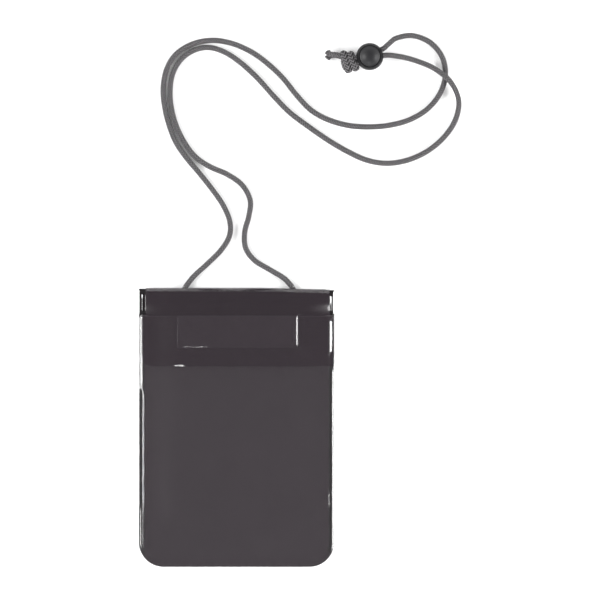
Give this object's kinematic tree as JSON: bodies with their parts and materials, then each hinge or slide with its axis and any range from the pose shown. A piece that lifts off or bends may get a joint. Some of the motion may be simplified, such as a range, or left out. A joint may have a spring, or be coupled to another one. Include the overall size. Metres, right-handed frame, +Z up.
{
  "type": "neck pouch wallet",
  "caption": "Flat welded sheet pouch with a hook-and-loop flap, worn on a braided neck cord that is set by a spring ball lock.",
  "frame": {"origin": "middle of the pouch's outline, on the surface that its back lies on", "axes": "+X across the pouch, +Y from its bottom edge towards the top fold and the neck cord, +Z up from the back to the flap"},
  "size_m": [0.2079, 0.3444, 0.0175],
  "materials": {
    "sheet": "smoke grey flexible vinyl sheet, glossy",
    "tape": "woven nylon hook and loop pile",
    "cord": "round braid, grey over black",
    "lock_plastic": "satin moulded",
    "spring_steel": "drawn wire"
  },
  "bodies": {
    "pouch": {"back_panel": "sheet", "front_panel": "sheet", "top_fold": "sheet", "cord_sleeve": "sheet", "loop_tape": "tape", "cord_run": "cord", "cord_left": "cord", "cord_right": "cord", "cord_knot": "cord", "cord_tail_upper": "cord", "cord_tail_lower": "cord", "lock_ball": "lock_plastic", "lock_spring": "spring_steel"},
    "flap": {"flap": "sheet", "hook_tape": "tape"},
    "button": {"lock_button": "lock_plastic"}
  },
  "joints": [
    {"name": "flap_hinge", "type": "hinge", "parent": "pouch", "child": "flap", "pos_m": [0, 0.08882, 0.00733], "axis": [-1, 0, 0], "range_deg": [0, 175]},
    {"name": "button_press", "type": "slide", "parent": "pouch", "child": "button", "axis": [0, 0, -1], "range_m": [0, 0.002], "stiffness_N_per_m": 2000, "springref_m": -0.003, "deforming": ["lock_spring"]}
  ]
}
